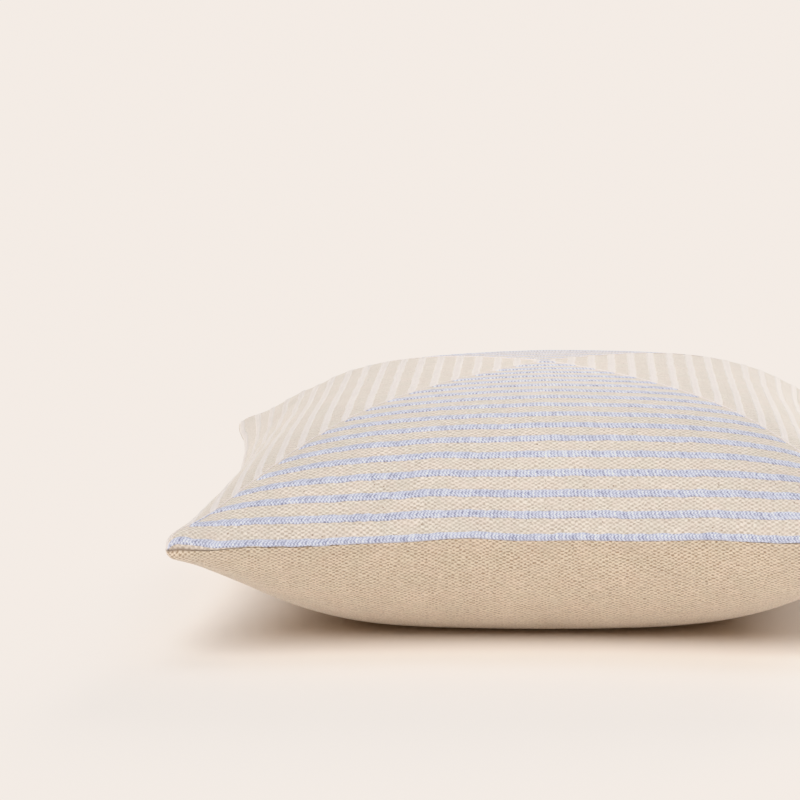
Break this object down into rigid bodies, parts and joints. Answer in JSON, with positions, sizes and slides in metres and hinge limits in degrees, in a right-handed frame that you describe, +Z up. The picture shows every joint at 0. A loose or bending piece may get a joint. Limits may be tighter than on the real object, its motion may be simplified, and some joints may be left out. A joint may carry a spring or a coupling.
{
  "type": "cushion cover",
  "caption": "Filled square cushion cover lying on its back, with a knife-edge seam, a front panel with raised stripes mitred at the diagonals, and a plain back panel.",
  "frame": {"origin": "on the surface that the cushion lies on, under the middle of the cushion", "axes": "+Z up, from the back panel to the front panel; +X to the viewer's right along the near seam; +Y away from the viewer"},
  "size_m": [0.4189, 0.419, 0.1455],
  "materials": {
    "embroidered_canvas": "undyed plain-weave cotton canvas with raised stripes of matt thread, pale blue on two opposite quarters and off-white on the other two",
    "plain_canvas": "undyed plain-weave cotton canvas with small dark flecks"
  },
  "bodies": {
    "root": {"front_panel": "embroidered_canvas", "back_panel": "plain_canvas"}
  },
  "joints": []
}
